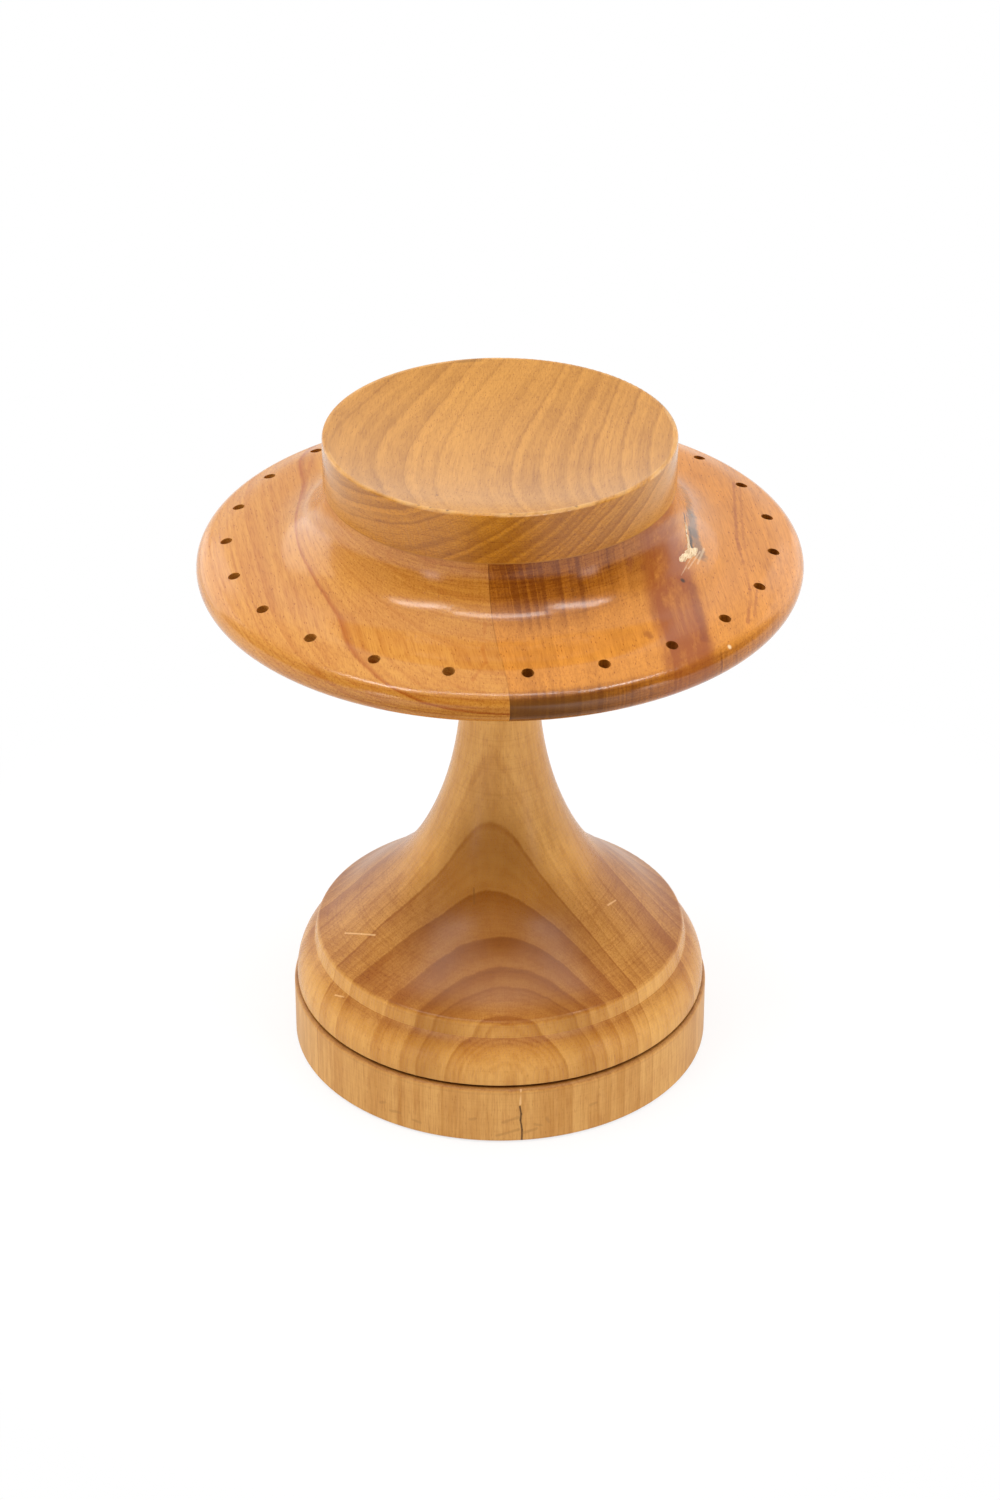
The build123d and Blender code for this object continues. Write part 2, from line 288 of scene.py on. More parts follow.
def growth_rings(tree, distance, first, rings):
    """Darkness of the growth rings: each one is pale inside, darkens to its tone and ends in a thin line.
    A ring is its width in millimetres, its tone and its line's darkness, and the rings repeat outwards."""
    pale_start = 0.3
    pale_share = 0.4
    line_start = 0.9
    line_end = 0.1
    span = sum(width for width, tone, line in rings)
    turn = number(tree, "DIVIDE", number(tree, "SUBTRACT", distance, first), span)
    ramp = tree.nodes.new("ShaderNodeValToRGB")
    put(ramp.inputs["Fac"], number(tree, "FRACT", turn))
    stops = []
    start = 0
    for width, tone, line in rings:
        stops.append((start + pale_start, tone * pale_share))
        stops.append((start + width - line_start, tone))
        stops.append((start + width - line_end, line))
        start += width
    elements = ramp.color_ramp.elements
    while len(elements) < len(stops):
        elements.new(0.5)
    for element, (stop, dark) in zip(elements, stops):
        element.position = stop / span
        element.color = (dark, dark, dark, 1)
    return ramp.outputs["Color"]


def wood_colour(tree, marks, rings, pale, late, end, streaks, pores, side_rings, end_rings):
    """The colour of turned wood: rings, streaks and fibres, with darker pores and end grain.
    The last four numbers say how much the streaks, the pores, and the rings on side and end grain show."""
    fine_lines = 0.3
    blotches = 0.16
    ray_base = 1.1
    ray_depth = -0.32
    side_fibres = 0.3
    more_end_fibres = 0.15
    side_turning = 0.1
    more_end_turning = 0.2
    end_grain = marks["End Grain"]
    strength = number(tree, "MULTIPLY_ADD", end_grain, end_rings - side_rings, side_rings)
    lines = number(tree, "MULTIPLY_ADD", fade(tree, marks["Line"], 0.38, 0.66), fine_lines, rings)
    dark = product(tree, lines, strength)
    dark = number(tree, "MULTIPLY_ADD", fade(tree, marks["Blotch"], 0.38, 0.68), blotches, dark)
    dark = number(tree, "MULTIPLY_ADD", fade(tree, marks["Streak"], 0.40, 0.72), streaks, dark)
    colour = blend(tree, dark, pale, late)
    ray = number(tree, "MULTIPLY_ADD", fade(tree, marks["Ray"], 0.35, 0.65), ray_depth, ray_base)
    colour = blend(tree, product(tree, end_grain, ray), colour, end, "MULTIPLY")
    fibres = number(tree, "MULTIPLY_ADD", end_grain, more_end_fibres, side_fibres)
    fine = product(tree, fade(tree, marks["Fibre"], 0.42, 0.72), fibres)
    turning = number(tree, "MULTIPLY_ADD", end_grain, more_end_turning, side_turning)
    fine = number(tree, "MULTIPLY_ADD", fade(tree, marks["Turning"], 0.46, 0.74), turning, fine)
    colour = blend(tree, fine, colour, late, "MULTIPLY")
    return blend(tree, product(tree, marks["Pore"], pores), colour, late, "MULTIPLY")


def wood_surface(tree, shader, marks, rings, colour, gloss, shine):
    """A lacquered surface, with open pores, faint turning marks and a little less gloss on end grain.
    Gloss is the least roughness, and shine how much the lacquer reflects."""
    end_roughness = 0.02
    fibre_roughness = 0.06
    pore_height = -0.9
    turning_height = 0.6
    ring_height = -0.2
    relief_depth = 0.00002
    put(shader.inputs["Base Color"], colour)
    put(shader.inputs["Specular IOR Level"], shine)
    roughness = number(tree, "MULTIPLY_ADD", marks["End Grain"], end_roughness, gloss)
    roughness = number(tree, "MULTIPLY_ADD", marks["Fibre"], fibre_roughness, roughness)
    put(shader.inputs["Roughness"], roughness)
    height = number(tree, "MULTIPLY_ADD", marks["Pore"], pore_height, marks["Fibre"])
    height = number(tree, "MULTIPLY_ADD", marks["Turning"], turning_height, height)
    height = number(tree, "MULTIPLY_ADD", rings, ring_height, height)
    relief(tree, shader, height, relief_depth)


stroke = bpy.data.node_groups.new("stroke", "ShaderNodeTree")
for name in ("Start", "End"):
    stroke.interface.new_socket(name, in_out="INPUT", socket_type="NodeSocketVector")
for name in ("Width", "Ragged"):
    stroke.interface.new_socket(name, in_out="INPUT", socket_type="NodeSocketFloat")
stroke.interface.new_socket("Mask", in_out="OUTPUT", socket_type="NodeSocketFloat")
given = stroke.nodes.new("NodeGroupInput").outputs
place = scaled_vector(stroke, object_place(stroke), millimetres)
offset = direction(stroke, "SUBTRACT", place, given["Start"])
run = direction(stroke, "SUBTRACT", given["End"], given["Start"])
run_squared = measure(stroke, "DOT_PRODUCT", run, run)
share = number(stroke, "DIVIDE", measure(stroke, "DOT_PRODUCT", offset, run), run_squared)
share = number(stroke, "MINIMUM", number(stroke, "MAXIMUM", share, 0), 1)
away = measure(stroke, "DISTANCE", offset, scaled_vector(stroke, run, share))
ragged = number(stroke, "SUBTRACT", noise(stroke, place, scale=0.6, detail=3, roughness=0.6), 0.5)
away = number(stroke, "MULTIPLY_ADD", ragged, given["Ragged"], away)
core = product(stroke, given["Width"], stroke_core)
put(stroke.nodes.new("NodeGroupOutput").inputs["Mask"], fade(stroke, away, given["Width"], core))


def paint(tree, colour, mask, paint_colour, amount):
    """Lays another colour over the wood by a mask."""
    return blend(tree, product(tree, mask, amount), colour, paint_colour)


def paint_strokes(tree, colour, strokes, paint_colour, width, ragged, amount):
    """Lays marks over the wood. Each runs between two points, which are in millimetres, as its width is."""
    for start, end in strokes:
        node = tree.nodes.new("ShaderNodeGroup")
        node.node_tree = stroke
        node.inputs["Start"].default_value = start
        node.inputs["End"].default_value = end
        node.inputs["Width"].default_value = width
        node.inputs["Ragged"].default_value = ragged
        colour = paint(tree, colour, node.outputs["Mask"], paint_colour, amount)
    return colour


plinth_wood, tree, shader = new_material("plinth wood")
marks = wood_figure(tree, blank_pith, blank_grain, blank_lean, blank_waver)
rings = growth_rings(tree, marks["Distance"], blank_first_ring, blank_rings)
colour = wood_colour(
    tree, marks, rings, plinth_pale, plinth_late, plinth_end,
    streaks=0.2, pores=0.3, side_rings=0.55, end_rings=0.6,
)
# Painted shade: a darker band along the plinth's top edge, where the pedestal's bead overhangs it.
shaded_top_edge = fade(tree, along_axis(tree, (0, 0, 1)), shaded_edge_start, shaded_edge_end)
colour = paint(tree, colour, shaded_top_edge, bruise_and_shade_dark, amount=0.16)
crack = zip(crack_points, crack_points[1:])
colour = paint_strokes(tree, colour, crack, crack_line, width=0.42, ragged=0.25, amount=0.95)
colour = paint_strokes(tree, colour, scuffs, scuff_pale, width=0.4, ragged=0.2, amount=0.5)
colour = paint_strokes(tree, colour, bruises, bruise_and_shade_dark, width=0.7, ragged=1.0, amount=0.4)
wood_surface(tree, shader, marks, rings, colour, gloss=0.36, shine=0.3)
dress("plinth", plinth_wood)

# Bearing: two pressed plates of zinc-plated steel, joined by an eyelet, with twelve steel balls in a nylon
# cage between them. Brass wood screws hold the lower plate to the plinth and the upper to the pedestal.
zinc_pale = (0.66, 0.66, 0.64, 1)
zinc_dark = (0.50, 0.51, 0.51, 1)
steel_colour = (0.72, 0.72, 0.73, 1)
steel_smudge = (0.55, 0.55, 0.57, 1)
brass_colour = (0.72, 0.52, 0.20, 1)
brass_tarnish = (0.38, 0.24, 0.09, 1)
nylon_colour = (0.80, 0.79, 0.73, 1)
nylon_shade = (0.70, 0.68, 0.61, 1)


def mottled(name, plain, other, scale, metallic, gloss, spread):
    """A finish that wanders between two colours, with gloss that wanders too."""
    tooling_scale = scale * 12
    tooling_depth = 0.00002
    material, tree, shader = new_material(name)
    place = object_place(tree)
    cloud = noise(tree, place, scale, detail=4, roughness=0.6)
    put(shader.inputs["Base Color"], blend(tree, fade(tree, cloud, 0.35, 0.7), plain, other))
    put(shader.inputs["Metallic"], metallic)
    put(shader.inputs["Roughness"], number(tree, "MULTIPLY_ADD", cloud, spread, gloss))
    relief(tree, shader, noise(tree, place, tooling_scale), tooling_depth)
    return material


zinc = mottled("zinc plate", zinc_pale, zinc_dark, scale=180, metallic=1, gloss=0.22, spread=0.3)
brass = mottled("screw brass", brass_colour, brass_tarnish, scale=420, metallic=1, gloss=0.2, spread=0.3)
steel = mottled("bearing steel", steel_colour, steel_smudge, scale=500, metallic=1, gloss=0.05, spread=0.15)
nylon = mottled("cage nylon", nylon_colour, nylon_shade, scale=260, metallic=0, gloss=0.4, spread=0.2)
dress("bearing_lower_plate", zinc)
dress("bearing_upper_plate", zinc)
dress("bearing_eyelet", zinc)
dress("lower_plate_screws", brass)
dress("upper_plate_screws", brass)
dress("bearing_balls", steel)
dress("ball_cage", nylon)

# The middle of the flare's front is painted browner, as shade where the platter hides it from the light
# above.
# Pedestal: stem, flare, lip and bead in one piece of wood, from the upper part of the plinth's blank.
# The flare cuts through the growth rings, which show as arches one above the other.
# A tenon at its top is glued into the platter.
pedestal_pale = (0.75, 0.410, 0.116, 1)
pedestal_late = (0.43, 0.165, 0.028, 1)
pedestal_end = (0.76, 0.640, 0.380, 1)
scratch_pale = (0.86, 0.540, 0.240, 1)
tick_dark = (0.20, 0.080, 0.015, 1)
shaded_middle_brown = (0.27, 0.090, 0.008, 1)
shaded_middle_ring = (0.78, 0.690, 0.560, 1)
middle_inner_start = 30
middle_inner_full = 42
middle_outer_full = 66
middle_outer_end = 75
middle_half_width = 0.014
middle_half_reach = 0.036
scratches = (
    ((-47.1, -15, 42.9), (-42, -19.5, 45.6)), ((-42, -19.5, 45.6), (-37.7, -22.9, 47.4)),
    ((32.6, -16.5, 54), (35.2, -12.7, 53.4)), ((-49.8, -31.9, 31.7), (-45.1, -36.4, 33.7)),
)
ticks = (((-7.8, -25.1, 65.7), (-7.7, -28, 62)),)

pedestal_wood, tree, shader = new_material("pedestal wood")
marks = wood_figure(tree, blank_pith, blank_grain, blank_lean, blank_waver)
rings = growth_rings(tree, marks["Distance"], blank_first_ring, blank_rings)
colour = wood_colour(
    tree, marks, rings, pedestal_pale, pedestal_late, pedestal_end,
    streaks=0.2, pores=0.3, side_rings=0.55, end_rings=1,
)
# Painted shade: the middle of the flare's front is darkened, and its ring lines deepened, where the platter
# shades it.
inner = fade(tree, marks["Distance"], middle_inner_start, middle_inner_full)
outer = fade(tree, marks["Distance"], middle_outer_end, middle_outer_full)
aside = number(tree, "ABSOLUTE", along_axis(tree, (1, 0, 0)))
middle = product(tree, inner, outer, fade(tree, aside, middle_half_reach, middle_half_width))
colour = paint(tree, colour, middle, shaded_middle_brown, amount=0.62)
colour = blend(tree, product(tree, middle, fade(tree, rings, 0.3, 1)), colour, shaded_middle_ring, "MULTIPLY")
colour = paint_strokes(tree, colour, scratches, scratch_pale, width=0.36, ragged=0.3, amount=0.6)
colour = paint_strokes(tree, colour, ticks, tick_dark, width=0.4, ragged=0.3, amount=0.6)
wood_surface(tree, shader, marks, rings, colour, gloss=0.24, shine=0.24)
dress("pedestal", pedestal_wood)

# Platter: two edge-glued boards with the hub turned in one with them, and a ring of hook holes.
# The left board is flat-sawn and plain. The right one is quarter-sawn, with a band of heartwood, a smoky
# flaw with dark gaps in it, and end grain that is soaked brown beside the glue line.
no_lean = (0, 0, 0)
board_waver = 2
board_gloss = 0.12
board_shine = 0.55
left_pith = (-12, 0, 267)
left_grain = (-0.161, 1, 0)
left_first_ring = 96.5
left_rings = (
    (2.6, 0.06, 0.16), (2.6, 0.05, 0.12), (2.6, 0.12, 0.80), (4.2, 0.05, 0.12), (4.2, 0.08, 0.45),
    (4.0, 0.05, 0.15), (3.6, 0.10, 0.20), (4.4, 0.06, 0.15), (4.0, 0.10, 0.25),
)
left_pale = (0.61, 0.283, 0.058, 1)
left_late = (0.40, 0.120, 0.018, 1)
left_end = (0.84, 0.770, 0.530, 1)
left_lines = (
    ((-4.2, -58.1, 174.5), (-4.7, -67.5, 171.2)), ((-4.7, -67.5, 171.2), (-3.8, -74.3, 171)),
    ((-3.8, -74.3, 171), (-7.4, -81.5, 169.7)), ((-58, 20, 173), (-57, 48, 171)),
)

left_wood, tree, shader = new_material("platter light wood")
marks = wood_figure(tree, left_pith, left_grain, no_lean, board_waver)
rings = growth_rings(tree, marks["Distance"], left_first_ring, left_rings)
colour = wood_colour(
    tree, marks, rings, left_pale, left_late, left_end,
    streaks=0.15, pores=0.6, side_rings=1, end_rings=1.2,
)
colour = paint_strokes(tree, colour, left_lines, left_late, width=0.9, ragged=0.8, amount=0.5)
wood_surface(tree, shader, marks, rings, colour, board_gloss, board_shine)
dress("platter_left_board", left_wood)

right_pith = (-131, 0, 165)
right_grain = (-0.12, 1, 0)
right_first_ring = 127.4
right_rings = (
    (2.3, 0.40, 0.70), (2.3, 0.36, 0.68), (2.5, 0.34, 0.66), (2.5, 0.30, 0.62), (5.0, 0.26, 0.50),
    (5.9, 0.22, 0.45), (9.5, 0.18, 0.34), (12.0, 0.16, 0.40), (14.5, 0.20, 0.40), (17.6, 0.18, 0.42),
)
right_pale = (0.65, 0.258, 0.040, 1)
right_late = (0.31, 0.100, 0.016, 1)
right_end = (0.66, 0.540, 0.240, 1)
heart_colour = (0.27, 0.064, 0.013, 1)
heart_edge = (0.20, 0.045, 0.014, 1)
smoke_colour = (0.11, 0.070, 0.048, 1)
void_colour = (0.035, 0.018, 0.010, 1)
fleck_pale = (0.80, 0.600, 0.360, 1)
soaked_brown = (0.110, 0.045, 0.012, 1)
heart_inner_start = 164
heart_inner_full = 169
heart_outer_full = 179
heart_outer_end = 184
heart_back_end = -0.008
heart_back_full = -0.022
heart_less_on_end = -0.55
soaked_full = 135
soaked_end = 170
heart_lines = (
    ((36.5, -37, 183), (38.2, -46, 177)), ((38.2, -46, 177), (41.5, -60, 171)),
    ((41, -36, 180), (43.5, -49, 173)), ((54.4, -31.7, 172.5), (56.9, -59.1, 170)),
)
right_lines = (
    ((69.5, 34.3, 170.8), (68.6, -2, 171)), ((68.6, -2, 171), (70.8, -32, 170.5)),
    ((70.8, -32, 170.5), (69.3, -48, 169)),
)
right_line_gap = 1.9
smoke_streaks = (
    ((53.8, 26, 173.6), (54.6, 12, 176.3), 1.8, 0.35), ((54.6, 12, 176.3), (54.9, 2, 177.3), 2.6, 0.55),
    ((54.9, 2, 177.3), (55.6, -8, 176.6), 3.2, 0.75), ((55.6, -8, 176.6), (57.5, -17, 173.8), 2.8, 0.7),
)
voids = (
    ((52.9, -4, 180.6), (53.3, -13, 177.6), 0.55), ((54.2, -2, 179.8), (54.9, -9, 178), 0.8),
    ((54.9, -9, 178), (54.9, -15.8, 175.9), 1.2), ((53, -16, 176.7), (51, -23, 176.2), 0.6),
)
frayed_ends = (
    ((54.8, -19.5, 174.8), (51.3, -29.4, 174), 0.3), ((57.4, -15, 174.1), (53.6, -25.5, 174.2), 0.35),
    ((58.6, -12.5, 173.6), (56.4, -21.5, 173.6), 0.5),
)
knot = (51.7, -31.2, 173.3)
fleck = (63.8, -59.1, 167.5)
rim_top = 0.1700
rim_middle = 0.1655
glue_turn = math.radians(9.15)
glue_normal = (math.cos(glue_turn), math.sin(glue_turn), 0)
glue_place = -0.01135
glue_line_start = glue_place + 0.0001
glue_line_end = glue_place + 0.0005

right_wood, tree, shader = new_material("platter dark wood")
marks = wood_figure(tree, right_pith, right_grain, no_lean, board_waver)
rings = growth_rings(tree, marks["Distance"], right_first_ring, right_rings)
colour = wood_colour(
    tree, marks, rings, right_pale, right_late, right_end,
    streaks=0.2, pores=0.7, side_rings=0.4, end_rings=2,
)
heart = product(
    tree,
    fade(tree, marks["Distance"], heart_inner_start, heart_inner_full),
    fade(tree, marks["Distance"], heart_outer_end, heart_outer_full),
    fade(tree, along_axis(tree, (0, 1, 0)), heart_back_end, heart_back_full),
    fade(tree, marks["Streak"], 0.15, 0.55),
    number(tree, "MULTIPLY_ADD", marks["End Grain"], heart_less_on_end, 1),
)
colour = paint(tree, colour, heart, heart_colour, amount=0.9)
colour = paint_strokes(tree, colour, heart_lines, heart_edge, width=1.8, ragged=2.2, amount=0.5)
for start, end in right_lines:
    beside = [(x + right_line_gap, y, z) for x, y, z in (start, end)]
    colour = paint_strokes(tree, colour, [(start, end)], heart_colour, width=0.8, ragged=0.9, amount=0.55)
    colour = paint_strokes(tree, colour, [beside], heart_colour, width=0.6, ragged=0.9, amount=0.4)
for start, end, width, amount in smoke_streaks:
    colour = paint_strokes(tree, colour, [(start, end)], smoke_colour, width, ragged=4, amount=amount)
for start, end, width in voids:
    colour = paint_strokes(tree, colour, [(start, end)], void_colour, width, ragged=0.5, amount=0.95)
for start, end, width in frayed_ends:
    colour = paint_strokes(tree, colour, [(start, end)], fleck_pale, width, ragged=0.5, amount=0.34)
colour = paint_strokes(tree, colour, [(knot, knot)], heart_colour, width=3.2, ragged=2, amount=0.6)
colour = paint_strokes(tree, colour, [(knot, knot)], void_colour, width=1.1, ragged=0.4, amount=0.9)
colour = paint_strokes(tree, colour, [(fleck, fleck)], fleck_pale, width=0.9, ragged=0.3, amount=0.9)
on_rim = fade(tree, along_axis(tree, (0, 0, 1)), rim_top, rim_middle)
by_glue = fade(tree, marks["Distance"], soaked_end, soaked_full)
colour = paint(tree, colour, product(tree, on_rim, marks["End Grain"], by_glue), soaked_brown, amount=0.75)
glue_line = fade(tree, along_axis(tree, glue_normal), glue_line_end, glue_line_start)
colour = paint(tree, colour, glue_line, void_colour, amount=0.25)
wood_surface(tree, shader, marks, rings, colour, board_gloss, board_shine)
dress("platter_right_board", right_wood)

# Bark inclusion: a sliver of pale inner bark that grew into the right board, in the cove under the tray.
# It is a few fused lumps let into the wood, nearly flush with it, with dark gaps beside them.
# Each lump lies on the cove, which is part of a circle swept round the stand's axis.
bark_pale = (0.80, 0.620, 0.400, 1)
bark_shade = (0.46, 0.290, 0.140, 1)
bark_roughness = 0.7
cove_centre_radius = 68.9
cove_centre_level = 189.1
cove_radius = 17.9
lump_height = 0.8
lump_sunk = 0.45
lump_voxel = 0.00018
ridge_size = 0.0011
ridge_height = 0.0004
threads_per_metre = 1800
thread_stretch = (1, 0.25, 1)
thread_relief = 0.0001
bark_lumps = (
    ((53.2, -7.5, 179.8), (53.5, -12.0, 177.9), 0.4), ((53.5, -11.5, 178.1), (54.0, -16.0, 176.3), 0.55),
    ((54.0, -15.5, 176.5), (54.2, -18.5, 175.4), 1.0), ((54.6, -17.2, 175.4), (53.0, -21.0, 175.6), 1.6),
    ((53.2, -20.2, 175.6), (51.4, -23.8, 175.9), 1.3), ((56.2, -14.8, 174.8), (54.4, -19.6, 175.0), 1.2),
)

bpy.ops.object.select_all(action="DESELECT")
lumps = []
for start, end, half_width in bark_lumps:
    run = Vector(end) - Vector(start)
    middle = (Vector(start) + Vector(end)) / 2
    spoke = Vector((middle.x, middle.y, 0)).normalized()
    cove_centre = spoke * cove_centre_radius + Vector((0, 0, cove_centre_level))
    outward = (cove_centre - middle).normalized()
    surface = cove_centre - outward * cove_radius
    lengthwise = run.normalized()
    across = lengthwise.cross(outward).normalized()
    outward = across.cross(lengthwise)
    half_length = run.length / 2 + half_width
    bpy.ops.mesh.primitive_ico_sphere_add(subdivisions=4, radius=1 / millimetres)
    lump = bpy.context.active_object
    turn = Matrix((across, lengthwise, outward)).transposed().to_4x4()
    stretch = Matrix.Diagonal((half_width, half_length, lump_height, 1))
    lump.matrix_world = Matrix.Translation((surface - outward * lump_sunk) / millimetres) @ turn @ stretch
    lumps.append(lump)
for lump in lumps:
    lump.select_set(True)
bpy.ops.object.join()
bpy.ops.object.transform_apply(location=True, rotation=True, scale=True)
bark = bpy.context.active_object
bark.name = "bark_inclusion"
remesh = bark.modifiers.new("fused", "REMESH")
remesh.mode = "VOXEL"
remesh.voxel_size = lump_voxel
bpy.ops.object.modifier_apply(modifier="fused")
ridge_pattern = bpy.data.textures.new("bark grain", "CLOUDS")
ridge_pattern.noise_scale = ridge_size
ridges = bark.modifiers.new("ridges", "DISPLACE")
ridges.texture = ridge_pattern
ridges.strength = ridge_height
bpy.ops.object.modifier_apply(modifier="ridges")
bpy.ops.object.shade_smooth()
bark_material, tree, shader = new_material("inner bark")
threads = direction(tree, "MULTIPLY", object_place(tree), thread_stretch)
threads = noise(tree, threads, threads_per_metre, detail=3, roughness=0.6)
put(shader.inputs["Base Color"], blend(tree, fade(tree, threads, 0.42, 0.7), bark_pale, bark_shade))
put(shader.inputs["Roughness"], bark_roughness)
relief(tree, shader, threads, thread_relief)
bark.data.materials.append(bark_material)
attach(bark, "carousel")

# Tray: the shallow dish on top, turned from one block of wood and glued to the hub by a short tenon.
# Its grain runs front to back, so the dish shows long lines and the front edge shows slanting end grain.
# The rim's top edge is painted paler in places as a highlight, and it has a few chips.
tray_pith = (-52.3, 0, 280.7)
tray_grain = (0.05, 1, -0.057)
tray_waver = 3
tray_first_ring = 85.2
tray_rings = (
    (4.3, 0.14, 0.24), (3.7, 0.12, 0.20), (3.6, 0.20, 0.34), (4.0, 0.26, 0.40), (4.3, 0.36, 0.50),
    (4.2, 0.34, 0.55), (4.5, 0.38, 0.58), (4.7, 0.28, 0.45), (4.8, 0.32, 0.48), (3.5, 0.30, 0.42),
)
tray_pale = (0.61, 0.285, 0.052, 1)
tray_late = (0.35, 0.140, 0.020, 1)
tray_end = (1.00, 0.860, 0.220, 1)
speck_dark = (0.10, 0.045, 0.015, 1)
rim_highlight_pale = (0.86, 0.520, 0.200, 1)
rim_highlight_radius_start = 0.0493
rim_highlight_radius_full = 0.0498
rim_highlight_level_start = 0.2034
rim_highlight_level_full = 0.2040
joint_line_top = 0.1896
joint_line_full = 0.1893
speck = (-17.6, -32.5, 201.1)
smudges = (((-12.4, 48, 204), (-6, 49.4, 204)),)
chip_points = (
    (-22.4, -44.8, 204), (-19.3, -46.2, 204), (-14.5, -47.9, 204.1), (3, -50, 204.2), (21, -45.4, 204.1),
)

tray_wood, tree, shader = new_material("tray wood")
marks = wood_figure(tree, tray_pith, tray_grain, no_lean, tray_waver)
rings = growth_rings(tree, marks["Distance"], tray_first_ring, tray_rings)
colour = wood_colour(
    tree, marks, rings, tray_pale, tray_late, tray_end,
    streaks=0.1, pores=0.5, side_rings=1, end_rings=1.8,
)
colour = paint_strokes(tree, colour, [(speck, speck)], speck_dark, width=0.5, ragged=0.1, amount=0.9)
colour = paint_strokes(tree, colour, smudges, speck_dark, width=1.1, ragged=1.8, amount=0.35)
from_axis = measure(tree, "LENGTH", direction(tree, "MULTIPLY", object_place(tree), (1, 1, 0)))
level = along_axis(tree, (0, 0, 1))
# Painted highlight: the rim's top edge is lighter in places, where it catches the light.
rim_highlight = product(
    tree,
    fade(tree, from_axis, rim_highlight_radius_start, rim_highlight_radius_full),
    fade(tree, level, rim_highlight_level_start, rim_highlight_level_full),
    fade(tree, marks["Blotch"], 0.35, 0.65),
)
colour = paint(tree, colour, rim_highlight, rim_highlight_pale, amount=0.35)
colour = paint(tree, colour, fade(tree, level, joint_line_top, joint_line_full), tray_late, amount=0.7)
chips = zip(chip_points, chip_points)
colour = paint_strokes(tree, colour, chips, speck_dark, width=0.7, ragged=0.6, amount=0.7)
wood_surface(tree, shader, marks, rings, colour, gloss=0.15, shine=0.6)
dress("tray", tray_wood)

# Floor: a wide white studio surface, which keeps the stand's soft shadow and throws light back up at it.
# Apart from that shadow the camera sees it plain white. Reflections see it darken below the camera.
floor_size = 8
floor_white = (0.92, 0.92, 0.92, 1)
floor_glow = 0.60
shadow_share = 0.25
shadow_reach = 0.24
shadow_core = 0.08
dark_start = 0.1
dark_full = -0.2
dark_half_reach = 0.28
dark_half_width = 0.05

bpy.ops.object.select_all(action="DESELECT")
bpy.ops.mesh.primitive_plane_add(size=floor_size)
floor = bpy.context.active_object
floor.name = "floor"
floor_material = bpy.data.materials.new("white floor")
floor_material.use_nodes = True
tree = floor_material.node_tree
tree.nodes.clear()
matte = tree.nodes.new("ShaderNodeBsdfDiffuse")
matte.inputs["Color"].default_value = floor_white
white = tree.nodes.new("ShaderNodeEmission")
mixed = tree.nodes.new("ShaderNodeMixShader")
path = tree.nodes.new("ShaderNodeLightPath").outputs
away = measure(tree, "LENGTH", object_place(tree))
shadow = product(tree, fade(tree, away, shadow_reach, shadow_core), shadow_share)
seen = number(tree, "MAXIMUM", path["Is Camera Ray"], path["Is Transmission Ray"])
seen = product(tree, seen, number(tree, "SUBTRACT", 1, shadow))
seen = number(tree, "MAXIMUM", seen, path["Is Glossy Ray"])
put(mixed.inputs["Fac"], number(tree, "MAXIMUM", seen, floor_glow))
in_front = fade(tree, along_axis(tree, (0, 1, 0)), dark_start, dark_full)
aside = number(tree, "ABSOLUTE", along_axis(tree, (1, 0, 0)))
in_middle = fade(tree, aside, dark_half_reach, dark_half_width)
darker = product(tree, in_front, in_middle, path["Is Glossy Ray"])
put(white.inputs["Strength"], number(tree, "SUBTRACT", 1, darker))
put(mixed.inputs[1], matte.outputs["BSDF"])
put(mixed.inputs[2], white.outputs["Emission"])
put(tree.nodes.new("ShaderNodeOutputMaterial").inputs["Surface"], mixed.outputs["Shader"])
floor.data.materials.append(floor_material)

# Studio: a white surround that is bright above and behind and dark at the camera's end, strip lights
# overhead in front, a soft light straight above, and smaller ones round the stand.
# Reflections show the surround dimmer above and wider behind. The camera looks down from the front.
top_level = 1.25
back_level = 0.85
top_shine = 0.60
back_shine = 0.85
top_start = 0.6
top_full = 0.8
back_start = 0.5
back_full = 0.8
back_shine_start = 0.15
back_shine_full = 0.65
camera_place = (0, -0.9965, 0.6952)
camera_tilt = math.radians(59.097)
camera_lens = 92.96
camera_sensor = 36
stand_middle = (0, 0, 0.12)
stand_top = (0, 0, 0.17)

world = bpy.data.worlds.new("studio")
bpy.context.scene.world = world
world.use_nodes = True
tree = world.node_tree
put(tree.nodes["Background"].inputs["Color"], (1, 1, 1, 1))
towards = tree.nodes.new("ShaderNodeSeparateXYZ")
put(towards.inputs["Vector"], tree.nodes.new("ShaderNodeTexCoord").outputs["Generated"])
above = fade(tree, towards.outputs["Z"], top_start, top_full)


def surround(tree, behind, above, back, top):
    """How bright the surround is: one level behind the stand and another above it, by their masks."""
    level = product(tree, behind, back)
    return number(tree, "MULTIPLY_ADD", number(tree, "SUBTRACT", top, level), above, level)


behind = fade(tree, towards.outputs["Y"], back_start, back_full)
level = surround(tree, behind, above, back_level, top_level)
behind = fade(tree, towards.outputs["Y"], back_shine_start, back_shine_full)
shine = surround(tree, behind, above, back_shine, top_shine)
path = tree.nodes.new("ShaderNodeLightPath").outputs
level = number(tree, "MULTIPLY_ADD", path["Is Glossy Ray"], number(tree, "SUBTRACT", shine, level), level)
seen = number(tree, "MAXIMUM", path["Is Camera Ray"], path["Is Transmission Ray"])
put(tree.nodes["Background"].inputs["Strength"], number(tree, "MAXIMUM", level, seen))

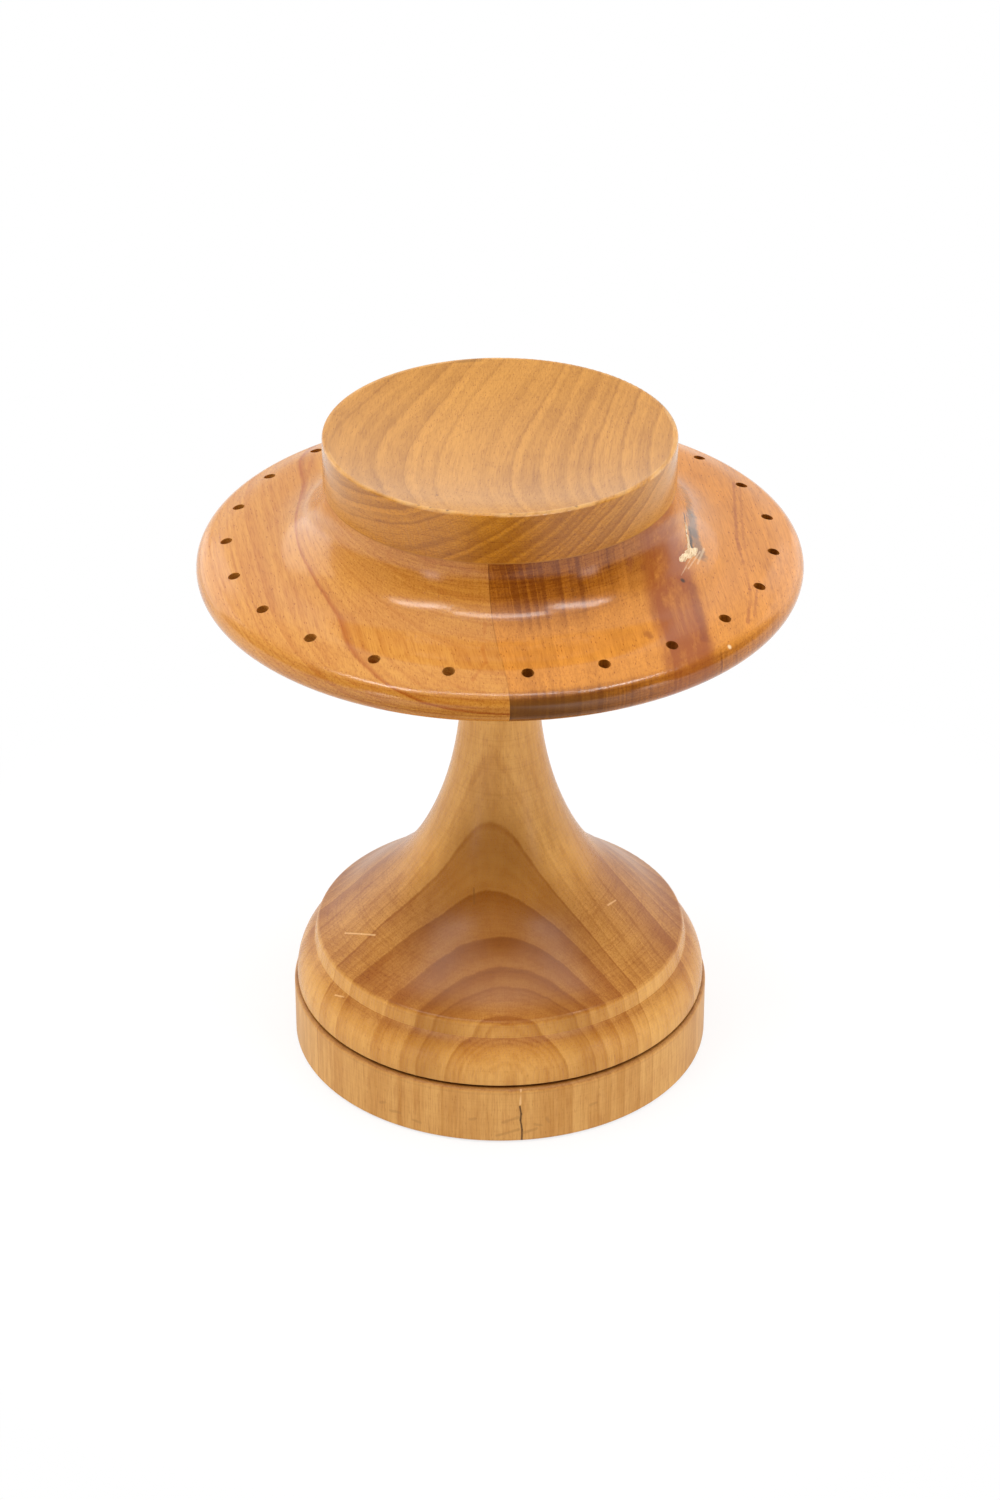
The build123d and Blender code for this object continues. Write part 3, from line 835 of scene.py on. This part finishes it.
# A lamp's name, its place, the point it faces, its width and depth, its power, and if reflections show it.
lamps = (
    ("light overhead left", (-0.85, -0.56, 1.42), stand_top, (0.75, 0.1), 4.2, True),
    ("light overhead right", (0.85, -0.56, 1.42), stand_top, (0.75, 0.1), 4.2, True),
    ("light overhead", (0, -0.6, 1.42), stand_top, (0.9, 0.1), 3.6, True),
    ("light above", (0, 0, 1.6), stand_top, (1.2, 1.2), 5.4, False),
    ("spot left", (-0.66, -0.78, 0.22), stand_top, (0.16, 0.16), 0.35, True),
    ("spot right", (0.83, -0.62, 0.22), stand_top, (0.16, 0.16), 0.35, True),
    ("light front left", (-0.75, -0.75, 0.06), stand_middle, (0.4, 0.2), 2.9, False),
    ("light front right", (0.85, -0.6, 0.06), stand_middle, (0.4, 0.2), 2.6, False),
    ("light left side", (-0.95, 0, 0.6), stand_middle, (0.8, 0.8), 3.2, False),
    ("light right side", (1.0, 0.1, 0.45), stand_middle, (0.8, 0.8), 3.0, False),
    ("light back left", (-0.9, 0.9, 0.5), stand_middle, (0.9, 0.9), 2.4, True),
    ("light back right", (0.9, 0.9, 0.5), stand_middle, (0.9, 0.9), 1.6, True),
)
for name, place, aim, (width, depth), power, mirrored in lamps:
    lamp = bpy.data.lights.new(name, "AREA")
    lamp.shape = "RECTANGLE"
    lamp.size = width
    lamp.size_y = depth
    lamp.energy = power
    holder = bpy.data.objects.new(name, lamp)
    bpy.context.scene.collection.objects.link(holder)
    holder.location = place
    reach = [there - here for here, there in zip(place, aim)]
    tilt = math.atan2(math.hypot(reach[0], reach[1]), -reach[2])
    turn = math.atan2(-reach[0], reach[1])
    holder.rotation_euler = (tilt, 0, turn)
    holder.visible_camera = False
    holder.visible_glossy = mirrored

camera = bpy.data.cameras.new("camera")
camera.lens = camera_lens
camera.sensor_width = camera_sensor
camera_holder = bpy.data.objects.new("camera", camera)
bpy.context.scene.collection.objects.link(camera_holder)
camera_holder.location = camera_place
camera_holder.rotation_euler = (camera_tilt, 0, 0)
bpy.context.scene.camera = camera_holder
bpy.context.scene.view_settings.view_transform = "Standard"
